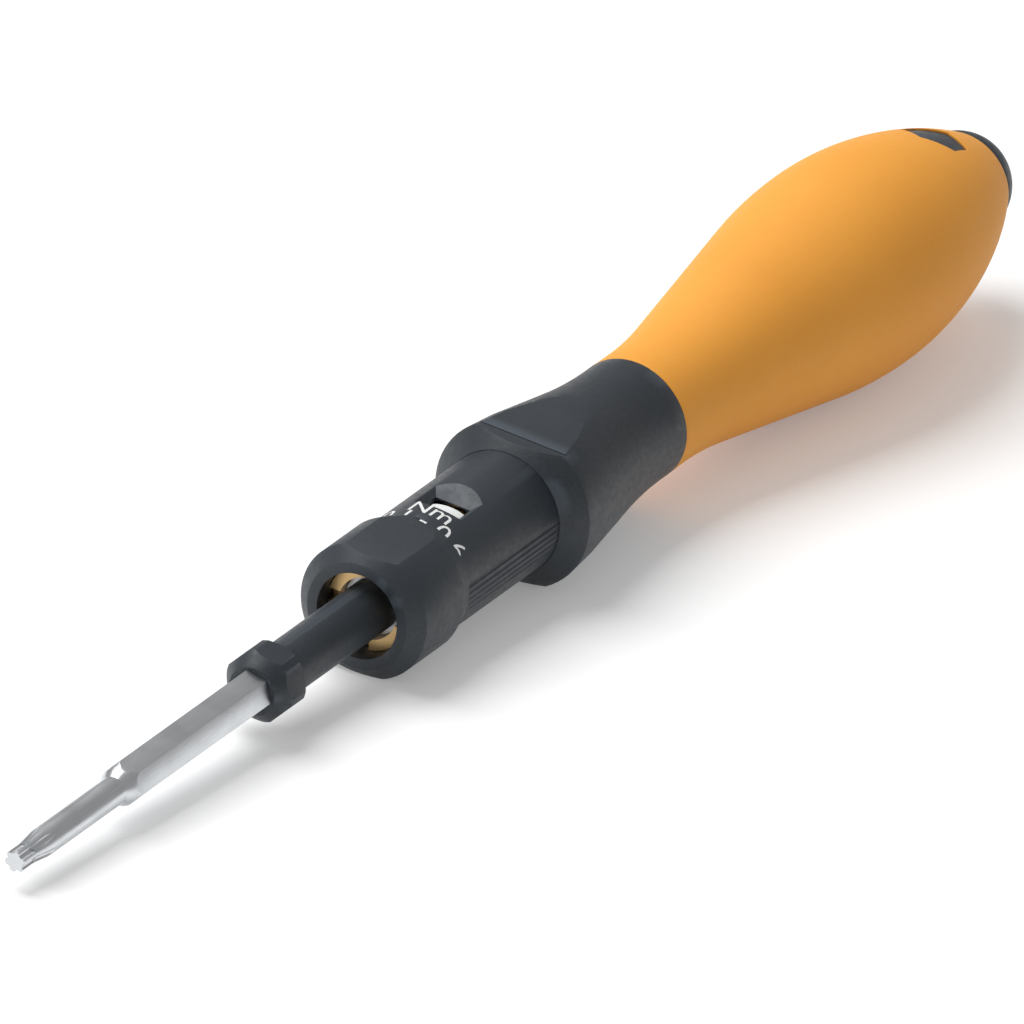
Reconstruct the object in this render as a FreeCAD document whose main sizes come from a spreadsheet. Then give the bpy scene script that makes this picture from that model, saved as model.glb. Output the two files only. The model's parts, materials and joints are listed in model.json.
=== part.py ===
import FreeCAD, Part
import math
import os
import Sketcher

# Adjustable torque screwdriver with a pull-out six-lobe blade.
# Every piece is drawn about the tool's own axis: X runs from the driver tip to the
# handle's end, Z points out of the flat on top of the barrel, and the six-lobe tip
# starts at X = 0.  "Clock" angles turn about X from +Z towards -Y.
# The finished tool is then laid down on its barrel ring and its grip.

ORIGIN_PLANE = {"XY": "XY_Plane", "XZ": "XZ_Plane", "YZ": "YZ_Plane"}
HEX_CORNER = 2 / math.sqrt(3)

DIMENSIONS = {
    # blade: stations along the axis, radii, and the hexagon across its flats
    "tip_radius": 1.155,
    "tip_straight": 2.1,
    "tip_edge": 0.12,
    "shank_start": 4.6,
    "shank_radius": 1.48,
    "shank_end": 18.5,
    "shoulder_length": 0.8,
    "shoulder_radius": 1.95,
    "hex_start": 20.6,
    "hex_flats": 4.0,
    "hex_clock": 39.5,
    "blade_end": 84.5,
    "blade_end_chamfer": 0.6,
    "flute_radius": 0.42,
    "flute_centre": 1.27,
    "flute_tilt": 10.0,
    # moulded sleeve on the blade, with its hexagonal finger collar
    "sleeve_start": 44.4,
    "sleeve_radius": 2.72,
    "sleeve_collar_length": 4.9,
    "sleeve_collar_flats": 6.9,
    "sleeve_collar_radius": 3.78,
    "sleeve_collar_nose": 2.55,
    "sleeve_collar_chamfer": 1.5,
    "sleeve_step": 0.12,
    "sleeve_step_length": 1.2,
    "sleeve_end": 67.2,
    # barrel
    "barrel_front": 64.2,
    "ring_radius": 7.1,
    "ring_face": 5.6,
    "ring_nose": 1.3,
    "ring_end": 72.4,
    "ring_shoulder": 2.3,
    "ring_flat": 6.4,
    "barrel_radius": 6.45,
    "barrel_end": 103.0,
    "mouth_radius": 4.5,
    "mouth_length": 3.2,
    "barrel_bore": 5.3,
    "key_width": 1.2,
    "key_depth": 0.4,
    "window_start": 78.6,
    "window_length": 2.6,
    "window_width": 3.9,
    "window_slope_front": 0.9,
    "window_slope_rear": 2.2,
    "window_slope_side": 1.5,
    "window_depth": 1.1,
    "rib_count": 5,
    "rib_spread": 24.0,
    "rib_clock": 90.0,
    "rib_radius": 0.3,
    "rib_depth": 0.12,
    # collar, neck and hard core of the handle
    "collar_face": 91.7,
    "collar_dish": 1.6,
    "collar_radius": 8.74,
    "collar_flat": 7.3,
    "collar_edge": 0.35,
    "collar_shoulder_end": 97.6,
    "collar_shoulder_radius": 8.36,
    "collar_taper_end": 105.4,
    "collar_taper_radius": 7.18,
    "neck_arc": 60.0,
    "neck_start": 114.0,
    "neck_radius": 6.44,
    "neck_end": 116.0,
    "core_radius": 5.9,
    "core_straight_end": 124.0,
    "core_belly_start": 148.0,
    "core_belly_radius": 8.7,
    "core_belly_end": 162.0,
    "core_tail_radius": 4.95,
    "core_bore": 5.0,
    "core_pocket_start": 153.0,
    "core_pocket_radius": 3.6,
    "flat_line_offset": 0.55,
    "flat_line_width": 0.25,
    "flat_line_depth": 0.15,
    # soft grip
    "grip_waist_start": 119.0,
    "grip_waist_radius": 6.4,
    "grip_flare_start": 127.0,
    "grip_flare_radius": 7.03,
    "grip_flare_end": 146.5,
    "grip_flare_end_radius": 10.25,
    "grip_front_arc": 47.0,
    "grip_crown_arc": 60.0,
    "grip_crown": 156.4,
    "grip_crown_radius": 11.07,
    "grip_tail_arc": 50.0,
    "grip_end": 179.7,
    "badge_start": 169.5,
    "badge_length": 6.0,
    "badge_width": 6.2,
    "badge_shoulder": 1.6,
    "badge_sink": 0.25,
    # end cap
    "tool_end": 184.2,
    "cap_stem_radius": 3.5,
    "cap_stem_length": 5.0,
    # torque mechanism
    "spindle_radius": 3.2,
    "socket_flats": 4.1,
    "socket_depth": 18.6,
    "spindle_front": 67.4,
    "spindle_step": 93.2,
    "spindle_rear_radius": 2.6,
    "catch_groove_radius": 2.88,
    "flange_start": 139.6,
    "flange_thickness": 3.0,
    "flange_radius": 4.8,
    "journal_radius": 1.8,
    "journal_length": 4.6,
    "detent_count": 12,
    "clutch_ball_count": 6,
    "clutch_ball_radius": 0.75,
    "clutch_ball_circle": 3.85,
    "detent_depth": 0.5,
    "plate_gap": 0.55,
    "plate_thickness": 3.2,
    "plate_radius": 4.92,
    "washer_thickness": 0.8,
    "race_thickness": 1.0,
    "race_radius": 4.8,
    "race_groove": 0.25,
    "thrust_ball_count": 10,
    "thrust_ball_radius": 0.75,
    "thrust_ball_circle": 3.4,
    "cage_thickness": 0.9,
    "cage_radius": 4.75,
    "screw_front": 66.2,
    "screw_journal": 4.42,
    "screw_flange_radius": 5.2,
    "screw_flange_thickness": 1.2,
    "screw_radius": 4.15,
    "screw_end": 92.6,
    "screw_slot_count": 4,
    "screw_slot_width": 1.4,
    "screw_slot_depth": 0.9,
    "friction_washer": 0.4,
    "drum_radius": 5.2,
    "drum_end": 80.7,
    "drum_gap": 0.3,
    "spring_wire": 0.7,
    "spring_radius": 4.55,
    "spring_pitch": 3.4,
    "catch_station": 78.6,
    "catch_ball_radius": 0.45,
    "catch_ring_width": 1.0,
    "catch_ring_thickness": 0.22,
    "catch_ring_gap": 50.0,
    # clearances
    "running": 0.05,
    "mould_gap": 0.05,
    "key_clearance": 0.1,
}

doc = FreeCAD.newDocument("TorqueScrewdriver")
sheet = doc.addObject("Spreadsheet::Sheet", "Dims")
for row, (alias, number) in enumerate(DIMENSIONS.items(), start=1):
    sheet.set(f"A{row}", alias)
    sheet.set(f"B{row}", str(number))
    sheet.setAlias(f"B{row}", alias)
doc.recompute()


class Size:
    """A length with both its present value and the sheet expression that drives it."""

    def __init__(self, value, text):
        self.value = value
        self.text = text

    @staticmethod
    def of(thing):
        return thing if isinstance(thing, Size) else Size(float(thing), repr(float(thing)))

    def __add__(self, other):
        other = Size.of(other)
        return Size(self.value + other.value, f"({self.text} + {other.text})")

    def __sub__(self, other):
        other = Size.of(other)
        return Size(self.value - other.value, f"({self.text} - {other.text})")

    def __mul__(self, other):
        other = Size.of(other)
        return Size(self.value * other.value, f"({self.text} * {other.text})")

    def __truediv__(self, other):
        other = Size.of(other)
        return Size(self.value / other.value, f"({self.text} / {other.text})")

    def __neg__(self):
        return Size(-self.value, f"(-{self.text})")

    __radd__ = __add__
    __rmul__ = __mul__


class Dimensions:
    """Gives each cell of the sheet as a Size, by its alias."""

    def __getattr__(self, alias):
        return Size(float(sheet.get(alias)), f"Dims.{alias}")


D = Dimensions()


# ---------------------------------------------------------------- sketch helpers

def new_body(label):
    body = doc.addObject("PartDesign::Body", label)
    body.Label = label
    return body


def new_sketch(body, name, plane, offset=None):
    sketch = body.newObject("Sketcher::SketchObject", name)
    role = ORIGIN_PLANE[plane]
    origin = next(f for f in body.Origin.OriginFeatures if f.Role == role)
    sketch.AttachmentSupport = [(origin, "")]
    sketch.MapMode = "FlatFace"
    if offset is not None:
        offset = Size.of(offset)
        sketch.AttachmentOffset = FreeCAD.Placement(FreeCAD.Vector(0, 0, offset.value), FreeCAD.Rotation())
        sketch.setExpression("AttachmentOffset.Base.z", offset.text)
    return sketch


def pin_coordinate(sketch, kind, axis_line, geometry, vertex, size):
    """Ties one coordinate of a vertex to its size, or to the axis where it is nought."""
    size = Size.of(size)
    if size.text == "0.0":
        sketch.addConstraint(Sketcher.Constraint("PointOnObject", geometry, vertex, axis_line))
        return
    index = sketch.addConstraint(Sketcher.Constraint(kind, -1, 1, geometry, vertex, size.value))
    sketch.setExpression(f"Constraints[{index}]", size.text)


def arc_between(start, end, radius):
    """The short arc from start to end; its centre is on the left for a positive radius."""
    chord = end - start
    left = FreeCAD.Vector(-chord.y, chord.x, 0).normalize()
    reach = math.sqrt(max(0.0, radius ** 2 - (chord.Length / 2) ** 2))
    centre = (start + end) / 2 + left * math.copysign(reach, radius)
    first, last = (start, end) if radius > 0 else (end, start)
    first_angle = math.atan2(first.y - centre.y, first.x - centre.x)
    last_angle = math.atan2(last.y - centre.y, last.x - centre.x)
    if last_angle < first_angle:
        last_angle += 2 * math.pi
    circle = Part.Circle(centre, FreeCAD.Vector(0, 0, 1), abs(radius))
    return Part.ArcOfCircle(circle, first_angle, last_angle)


def draw_outline(sketch, points):
    """Closed outline of straight edges and arcs.

    A point is (x, y) for a straight edge to the next point, or (x, y, radius) for an
    arc to it; a positive radius bulges to the right of the way along, a negative to the left.
    """
    count = len(points)
    where = [FreeCAD.Vector(Size.of(p[0]).value, Size.of(p[1]).value, 0) for p in points]
    first = len(sketch.Geometry)
    vertex_of = []
    for i, point in enumerate(points):
        start, end = where[i], where[(i + 1) % count]
        if len(point) == 2:
            sketch.addGeometry(Part.LineSegment(start, end))
            vertex_of.append((1, 2))
            continue
        radius = Size.of(point[2]).value
        sketch.addGeometry(arc_between(start, end, radius))
        vertex_of.append((1, 2) if radius > 0 else (2, 1))
    for i, point in enumerate(points):
        this, following = first + i, first + (i + 1) % count
        ends = (this, vertex_of[i][1], following, vertex_of[(i + 1) % count][0])
        sketch.addConstraint(Sketcher.Constraint("Coincident", *ends))
        pin_coordinate(sketch, "DistanceX", -2, this, vertex_of[i][0], point[0])
        pin_coordinate(sketch, "DistanceY", -1, this, vertex_of[i][0], point[1])
        if len(point) == 3:
            radius = Size.of(point[2])
            text = radius.text if radius.value > 0 else f"-{radius.text}"
            index = sketch.addConstraint(Sketcher.Constraint("Radius", this, abs(radius.value)))
            sketch.setExpression(f"Constraints[{index}]", text)


def draw_circle(sketch, x, y, radius):
    x, y, radius = Size.of(x), Size.of(y), Size.of(radius)
    centre = FreeCAD.Vector(x.value, y.value, 0)
    index = sketch.addGeometry(Part.Circle(centre, FreeCAD.Vector(0, 0, 1), radius.value))
    pin_coordinate(sketch, "DistanceX", -2, index, 3, x)
    pin_coordinate(sketch, "DistanceY", -1, index, 3, y)
    bound = sketch.addConstraint(Sketcher.Constraint("Radius", index, radius.value))
    sketch.setExpression(f"Constraints[{bound}]", radius.text)


def hexagon(flats, clock):
    """Corner points, in a YZ sketch, of a hexagon with one corner at the clock angle."""
    corner = flats / 2 * HEX_CORNER
    points = []
    for i in range(6):
        angle = clock.value + 60 * i
        text = f"({clock.text} + {60 * i})"
        y = Size(-corner.value * math.sin(math.radians(angle)), f"(-{corner.text} * sin({text} * 1 deg))")
        z = Size(corner.value * math.cos(math.radians(angle)), f"({corner.text} * cos({text} * 1 deg))")
        points.append((y, z))
    return points


def revolve(body, name, points, kind="PartDesign::Revolution"):
    """Turns an outline drawn in the XZ plane about the tool's axis."""
    sketch = new_sketch(body, f"{name}_outline", "XZ")
    draw_outline(sketch, points)
    feature = body.newObject(kind, name)
    feature.Profile = sketch
    feature.ReferenceAxis = (sketch, ["H_Axis"])
    feature.Angle = 360
    body.Tip = feature
    return feature


def cut(body, name, sketch, length, midplane=False, towards_normal=False):
    """Pockets a sketch; its direction is against the sketch's normal unless told otherwise."""
    length = Size.of(length)
    pocket = body.newObject("PartDesign::Pocket", name)
    pocket.Profile = sketch
    pocket.Length = length.value
    pocket.setExpression("Length", length.text)
    pocket.Midplane = midplane
    pocket.Reversed = towards_normal
    body.Tip = pocket
    return pocket


def mirror_over(body, name, feature, plane):
    mirrored = body.newObject("PartDesign::Mirrored", name)
    mirrored.Originals = [feature]
    role = ORIGIN_PLANE[plane]
    mirrored.MirrorPlane = (next(f for f in body.Origin.OriginFeatures if f.Role == role), [""])
    body.Tip = mirrored
    return mirrored


def round_pattern(body, name, feature, count, spread):
    """Repeats a feature about the tool's axis over a spread in degrees."""
    count, spread = Size.of(count), Size.of(spread)
    pattern = body.newObject("PartDesign::PolarPattern", name)
    pattern.Originals = [feature]
    axis = next(f for f in body.Origin.OriginFeatures if f.Role == "X_Axis")
    pattern.Axis = (axis, [""])
    pattern.Angle = spread.value
    pattern.Occurrences = int(count.value)
    pattern.setExpression("Angle", spread.text)
    pattern.setExpression("Occurrences", count.text)
    body.Tip = pattern
    return pattern


def clock_point(radius, clock):
    """Point of a YZ sketch at a radius and a clock angle, both of them sizes."""
    radius, clock = Size.of(radius), Size.of(clock)
    angle = math.radians(clock.value)
    y = Size(-radius.value * math.sin(angle), f"(-{radius.text} * sin({clock.text} * 1 deg))")
    z = Size(radius.value * math.cos(angle), f"({radius.text} * cos({clock.text} * 1 deg))")
    return y, z


def set_shape(label, shape):
    """A piece whose form has no feature of its own kind, such as a set of balls or a spring."""
    piece = doc.addObject("Part::Feature", label)
    piece.Label = label
    piece.Shape = Part.makeCompound([shape])
    return piece


def cut_from(piece, tool):
    """Cuts a tool from a piece; the result takes the piece's label."""
    label = piece.Label
    result = doc.addObject("Part::Cut", f"{label}_less_{tool.Name}")
    result.Base = piece
    result.Tool = tool
    piece.Label = f"{label}_before_{tool.Name}"
    result.Label = label
    return result


def ring_of_balls(count, station, circle, radius, first_clock=0.0):
    balls = []
    for i in range(count):
        angle = math.radians(first_clock + 360 * i / count)
        centre = FreeCAD.Vector(station, -circle * math.sin(angle), circle * math.cos(angle))
        balls.append(Part.makeSphere(radius, centre))
    return Part.makeCompound(balls)


def ball_seats(name, count):
    """Round hollows for the clutch balls, on their circle between plate and flange."""
    radius = (D.clutch_ball_radius + D.running).value
    circle = D.clutch_ball_circle.value
    return set_shape(name, ring_of_balls(int(count.value), clutch_ball_station.value, circle, radius))


# ---------------------------------------------------------------- derived stations

flange_end = D.flange_start + D.flange_thickness
front_race_end = flange_end + D.race_thickness
ball_station = front_race_end - D.race_groove + D.running + D.thrust_ball_radius
rear_race_start = ball_station + D.thrust_ball_radius + D.running - D.race_groove
rear_race_end = rear_race_start + D.race_thickness
plate_end = D.flange_start - D.plate_gap
plate_start = plate_end - D.plate_thickness
washer_start = plate_start - D.washer_thickness
screw_flange_start = D.barrel_front + D.mouth_length + D.friction_washer
screw_flange_end = screw_flange_start + D.screw_flange_thickness
drum_start = screw_flange_end + D.drum_gap
cap_reach = D.tool_end - D.grip_end
catch_clock = D.hex_clock + 30
catch_ball_centre = D.hex_flats / 2 + D.running / 2 + D.catch_ball_radius
clutch_ball_station = D.flange_start + D.detent_depth - D.clutch_ball_radius


def grip_tail_radius(station):
    """Radius of the grip's outside behind its crown, at a station."""
    back = station - D.grip_crown
    drop = D.grip_tail_arc.value - math.sqrt(D.grip_tail_arc.value ** 2 - back.value ** 2)
    text = f"({D.grip_tail_arc.text} - sqrt({D.grip_tail_arc.text} ^ 2 - {back.text} ^ 2))"
    return D.grip_crown_radius - Size(drop, text)


# ---------------------------------------------------------------- blade

def make_blade():
    body = new_body("blade")
    # the stock is a round bar wide enough for the hexagon's corners
    corner = D.hex_flats / 2 * HEX_CORNER
    shoulder = D.shank_end + D.shoulder_length
    revolve(body, "blade_turned", [
        (0, 0),
        (0, D.tip_radius - D.tip_edge),
        (D.tip_edge, D.tip_radius),
        (D.tip_straight, D.tip_radius),
        (D.shank_start, D.shank_radius),
        (D.shank_end, D.shank_radius),
        (shoulder, D.shoulder_radius),
        (D.hex_start, corner),
        (D.blade_end - D.blade_end_chamfer, corner),
        (D.blade_end, corner - D.blade_end_chamfer),
        (D.blade_end, 0),
    ])
    # the six flats of the rear part
    sketch = new_sketch(body, "hex_outline", "YZ", D.shank_end)
    draw_circle(sketch, 0, 0, corner * 2)
    draw_outline(sketch, hexagon(D.hex_flats, D.hex_clock))
    cut(body, "hex_flats", sketch, D.blade_end, towards_normal=True)
    # one flute of the six-lobe tip: level along the tip, then rising out of the flare
    level = new_sketch(body, "flute_outline", "YZ", -D.tip_edge)
    y, z = clock_point(D.flute_centre, D.hex_clock)
    draw_circle(level, y, z, D.flute_radius)
    flute = cut(body, "flute", level, D.tip_straight + D.tip_edge, towards_normal=True)
    round_pattern(body, "flutes", flute, 6, 360)
    return cut_from(body, flute_ends())


def flute_ends():
    """The flutes run out of the flare at a slant, as a tilted cutter leaves them."""
    cutters = []
    for i in range(6):
        cutter = doc.addObject("Part::Cylinder", f"flute_end_{i + 1}")
        cutter.setExpression("Radius", D.flute_radius.text)
        cutter.setExpression("Height", D.shank_start.text)
        clock = D.hex_clock + 60 * i
        y, z = clock_point(D.flute_centre, clock)
        lean = FreeCAD.Rotation(FreeCAD.Vector(0, 1, 0), 90 - D.flute_tilt.value)
        turn = FreeCAD.Rotation(FreeCAD.Vector(1, 0, 0), clock.value)
        where = FreeCAD.Vector(D.tip_straight.value, y.value, z.value)
        cutter.Placement = FreeCAD.Placement(where, turn * lean)
        cutter.setExpression("Placement.Base.x", D.tip_straight.text)
        cutter.setExpression("Placement.Base.y", y.text)
        cutter.setExpression("Placement.Base.z", z.text)
        cutters.append(cutter)
    fused = doc.addObject("Part::MultiFuse", "flute_ends")
    fused.Shapes = cutters
    return fused


def make_blade_sleeve():
    body = new_body("blade_sleeve")
    collar_end = D.sleeve_start + D.sleeve_collar_length
    step_end = collar_end + D.sleeve_step_length
    revolve(body, "sleeve_turned", [
        (D.sleeve_start, 0),
        (D.sleeve_start, D.sleeve_collar_nose),
        (D.sleeve_start + D.sleeve_collar_chamfer, D.sleeve_collar_radius),
        (collar_end - D.sleeve_collar_chamfer * 0.6, D.sleeve_collar_radius),
        (collar_end, D.sleeve_radius + D.sleeve_step),
        (step_end, D.sleeve_radius + D.sleeve_step),
        (step_end, D.sleeve_radius),
        (D.sleeve_end, D.sleeve_radius),
        (D.sleeve_end, 0),
    ])
    # the finger collar is a hexagon with rounded corners, in line with the blade's
    sketch = new_sketch(body, "collar_outline", "YZ", D.sleeve_start)
    draw_circle(sketch, 0, 0, D.sleeve_collar_radius * 2)
    draw_outline(sketch, hexagon(D.sleeve_collar_flats, D.hex_clock))
    cut(body, "collar_flats", sketch, D.sleeve_collar_length, towards_normal=True)
    # the hexagonal bar passes through
    bar = new_sketch(body, "bar_outline", "YZ", D.sleeve_start)
    draw_outline(bar, hexagon(D.hex_flats + D.mould_gap, D.hex_clock))
    cut(body, "bar_hole", bar, D.sleeve_end, towards_normal=True)
    return body


# ---------------------------------------------------------------- barrel

def make_barrel():
    body = new_body("barrel")
    mouth_end = D.barrel_front + D.mouth_length
    shoulder_end = D.ring_end + D.ring_shoulder
    revolve(body, "barrel_turned", [
        (D.barrel_front, D.mouth_radius),
        (D.barrel_front, D.ring_face),
        (D.barrel_front + D.ring_nose, D.ring_radius),
        (D.ring_end, D.ring_radius),
        (shoulder_end, D.barrel_radius),
        (D.barrel_end, D.barrel_radius),
        (D.barrel_end, D.barrel_bore),
        (mouth_end, D.barrel_bore),
        (mouth_end, D.mouth_radius),
    ])
    # flats above and below on the ring
    side = new_sketch(body, "ring_flat_outline", "XZ")
    high = D.ring_radius * 2
    draw_outline(side, [
        (D.barrel_front - D.ring_nose, D.ring_flat),
        (D.barrel_front - D.ring_nose, high),
        (shoulder_end, high),
        (shoulder_end, D.ring_flat),
    ])
    flat = cut(body, "ring_flat", side, high * 2, midplane=True)
    mirror_over(body, "ring_flats", flat, "XY")
    # keyway for the scale drum, below
    groove = new_sketch(body, "keyway_outline", "YZ", mouth_end)
    half = D.key_width / 2
    draw_outline(groove, [
        (-half, -D.barrel_bore + D.key_depth),
        (half, -D.barrel_bore + D.key_depth),
        (half, -D.barrel_bore - D.key_depth),
        (-half, -D.barrel_bore - D.key_depth),
    ])
    cut(body, "keyway", groove, D.barrel_end - mouth_end, towards_normal=True)
    make_window(body)
    make_grip_lines(body)
    return body


def make_window(body):
    """Window over the scale drum: a slot through the wall, with sloping sides above it."""
    outer = new_sketch(body, "window_rim", "XY", D.barrel_radius)
    half = D.window_width / 2
    rim_half = half + D.window_slope_side
    window_end = D.window_start + D.window_length
    draw_outline(outer, [
        (D.window_start - D.window_slope_front, -rim_half),
        (window_end + D.window_slope_rear, -rim_half),
        (window_end + D.window_slope_rear, rim_half),
        (D.window_start - D.window_slope_front, rim_half),
    ])
    inner = new_sketch(body, "window_floor", "XY", D.barrel_radius - D.window_depth)
    slot = [
        (D.window_start, -half),
        (window_end, -half),
        (window_end, half),
        (D.window_start, half),
    ]
    draw_outline(inner, slot)
    slopes = body.newObject("PartDesign::SubtractiveLoft", "window_slopes")
    slopes.Profile = outer
    slopes.Sections = [inner]
    slopes.Ruled = True
    body.Tip = slopes
    through = new_sketch(body, "window_slot", "XY", D.barrel_radius)
    draw_outline(through, slot)
    cut(body, "window", through, D.barrel_radius - D.barrel_bore * 0.5)


def make_grip_lines(body):
    """Bands of fine lengthwise grooves on both sides of the barrel."""
    line_start = D.ring_end + D.ring_shoulder
    for side, clock in (("near", D.rib_clock), ("far", -D.rib_clock)):
        sketch = new_sketch(body, f"{side}_line_outline", "YZ", line_start)
        first = clock - D.rib_spread / 2
        y, z = clock_point(D.barrel_radius + D.rib_radius - D.rib_depth, first)
        draw_circle(sketch, y, z, D.rib_radius)
        line = cut(body, f"{side}_line", sketch, D.collar_face - line_start, towards_normal=True)
        round_pattern(body, f"{side}_lines", line, D.rib_count, D.rib_spread)


# ---------------------------------------------------------------- handle

def make_handle_core():
    body = new_body("handle_core")
    rim = D.collar_face + D.collar_dish
    seat = D.barrel_radius + D.mould_gap
    seat_end = D.barrel_end + D.mould_gap
    tail = D.grip_end - D.mould_gap
    revolve(body, "core_turned", [
        (D.collar_face, seat),
        (rim, D.collar_radius - D.collar_edge),
        (rim + D.collar_edge, D.collar_radius),
        (D.collar_shoulder_end, D.collar_shoulder_radius),
        (D.collar_taper_end, D.collar_taper_radius, D.neck_arc),
        (D.neck_start, D.neck_radius),
        (D.neck_end, D.neck_radius),
        (D.neck_end, D.core_radius),
        (D.core_straight_end, D.core_radius),
        (D.core_belly_start, D.core_belly_radius),
        (D.core_belly_end, D.core_belly_radius),
        (tail, D.core_tail_radius),
        (tail, D.core_pocket_radius),
        (D.core_pocket_start, D.core_pocket_radius),
        (D.core_pocket_start, 0),
        (rear_race_end + D.running + D.journal_length, 0),
        (rear_race_end + D.running + D.journal_length, D.journal_radius + D.running),
        (rear_race_end + D.running, D.journal_radius + D.running),
        (rear_race_end + D.running, D.core_bore),
        (seat_end, D.core_bore),
        (seat_end, seat),
    ])
    # flats above and below on the collar, each with a fine line along its front edge
    side = new_sketch(body, "collar_flat_outline", "XZ")
    high = D.collar_radius * 2
    draw_outline(side, [
        (D.collar_face - D.collar_dish, D.collar_flat),
        (D.collar_face - D.collar_dish, high),
        (D.neck_end, high),
        (D.neck_end, D.collar_flat),
    ])
    flat = cut(body, "collar_flat", side, high * 2, midplane=True)
    mirror_over(body, "collar_flats", flat, "XY")
    line = new_sketch(body, "flat_line_outline", "XY", D.collar_flat)
    line_start = rim + D.flat_line_offset
    draw_outline(line, [
        (line_start, -D.collar_radius),
        (line_start + D.flat_line_width, -D.collar_radius),
        (line_start + D.flat_line_width, D.collar_radius),
        (line_start, D.collar_radius),
    ])
    groove = cut(body, "flat_line", line, D.flat_line_depth)
    mirror_over(body, "flat_lines", groove, "XY")
    # keyways for the clutch plate, above and below along the bore
    keyway = new_sketch(body, "keyway_outline", "YZ", seat_end)
    half = D.key_width / 2
    reach = D.core_bore + D.key_depth
    draw_outline(keyway, [(-half, -reach), (half, -reach), (half, reach), (-half, reach)])
    cut(body, "keyways", keyway, plate_end + D.key_clearance - seat_end, towards_normal=True)
    # the badge stands up through its window in the grip
    badge = new_sketch(body, "badge_outline", "XY", D.core_pocket_radius + D.badge_sink)
    draw_outline(badge, badge_outline(D.mould_gap))
    pad = body.newObject("PartDesign::Pad", "badge")
    pad.Profile = badge
    pad.Length = D.grip_crown_radius.value
    pad.setExpression("Length", D.grip_crown_radius.text)
    body.Tip = pad
    before = D.badge_start - D.badge_shoulder
    after = D.badge_start + D.badge_length + D.badge_shoulder
    above = D.grip_crown_radius * 2
    revolve(body, "badge_face", [
        (before, grip_tail_radius(before) - D.badge_sink, -(D.grip_tail_arc - D.badge_sink)),
        (after, grip_tail_radius(after) - D.badge_sink),
        (after, above),
        (before, above),
    ], kind="PartDesign::Groove")
    return body


def badge_outline(inset):
    """The badge's six corners, seen from above, brought in by a gap all round."""
    start = D.badge_start + inset
    end = D.badge_start + D.badge_length - inset
    half = D.badge_width / 2 - inset
    return [
        (start, 0),
        (start + D.badge_shoulder, -half),
        (end - D.badge_shoulder, -half),
        (end, 0),
        (end - D.badge_shoulder, half),
        (start + D.badge_shoulder, half),
    ]


def make_grip():
    body = new_body("grip")
    inside = D.mould_gap
    revolve(body, "grip_turned", [
        (D.neck_end + inside, D.core_radius + inside),
        (D.neck_end + inside, D.neck_radius),
        (D.grip_waist_start, D.grip_waist_radius, D.grip_front_arc),
        (D.grip_flare_start, D.grip_flare_radius),
        (D.grip_flare_end, D.grip_flare_end_radius, -D.grip_crown_arc),
        (D.grip_crown, D.grip_crown_radius, -D.grip_tail_arc),
        (D.grip_end, grip_tail_radius(D.grip_end)),
        (D.grip_end, D.core_tail_radius + inside),
        (D.core_belly_end, D.core_belly_radius + inside),
        (D.core_belly_start, D.core_belly_radius + inside),
        (D.core_straight_end, D.core_radius + inside),
    ])
    window = new_sketch(body, "badge_window_outline", "XY", D.core_pocket_radius)
    draw_outline(window, badge_outline(Size.of(0)))
    cut(body, "badge_window", window, D.grip_crown_radius, towards_normal=True)
    return body


def make_end_cap():
    body = new_body("end_cap")
    radius = grip_tail_radius(D.grip_end)
    dome = (radius * radius + cap_reach * cap_reach) / (cap_reach * 2)
    revolve(body, "cap_turned", [
        (D.grip_end - D.cap_stem_length, 0),
        (D.grip_end - D.cap_stem_length, D.cap_stem_radius),
        (D.grip_end, D.cap_stem_radius),
        (D.grip_end, radius, -dome),
        (D.tool_end, 0),
    ])
    return body


# ---------------------------------------------------------------- torque setting

def make_adjusting_screw():
    body = new_body("adjusting_screw")
    bore = D.spindle_radius + D.running
    revolve(body, "screw_turned", [
        (D.screw_front, bore),
        (D.screw_front, D.screw_journal),
        (screw_flange_start, D.screw_journal),
        (screw_flange_start, D.screw_flange_radius),
        (screw_flange_end, D.screw_flange_radius),
        (screw_flange_end, D.screw_radius),
        (D.screw_end, D.screw_radius),
        (D.screw_end, bore),
    ])
    sketch = new_sketch(body, "slot_outline", "YZ", D.screw_front)
    half = D.screw_slot_width / 2
    draw_outline(sketch, [
        (-half, 0),
        (half, 0),
        (half, D.screw_flange_radius),
        (-half, D.screw_flange_radius),
    ])
    slot = cut(body, "slot", sketch, D.screw_slot_depth, towards_normal=True)
    round_pattern(body, "slots", slot, D.screw_slot_count, 360)
    return body


def make_friction_washer():
    body = new_body("friction_washer")
    start = D.barrel_front + D.mouth_length
    end = screw_flange_start - D.running
    outer = D.barrel_bore - D.running
    revolve(body, "washer_turned", [
        (start, D.mouth_radius),
        (start, outer),
        (end, outer),
        (end, D.mouth_radius),
    ])
    return body


def make_scale_drum():
    body = new_body("scale_drum")
    bore = D.screw_radius + D.running
    revolve(body, "drum_turned", [
        (drum_start, bore),
        (drum_start, D.drum_radius),
        (D.drum_end, D.drum_radius),
        (D.drum_end, bore),
    ])
    key = new_sketch(body, "key_outline", "YZ", drum_start)
    half = D.key_width / 2 - D.key_clearance
    draw_outline(key, [
        (-half, -D.drum_radius + D.key_depth),
        (half, -D.drum_radius + D.key_depth),
        (half, -D.barrel_bore - D.key_depth + D.key_clearance),
        (-half, -D.barrel_bore - D.key_depth + D.key_clearance),
    ])
    pad = body.newObject("PartDesign::Pad", "key")
    pad.Profile = key
    pad.Length = (D.drum_end - drum_start).value
    pad.setExpression("Length", (D.drum_end - drum_start).text)
    body.Tip = pad
    return body


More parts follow.
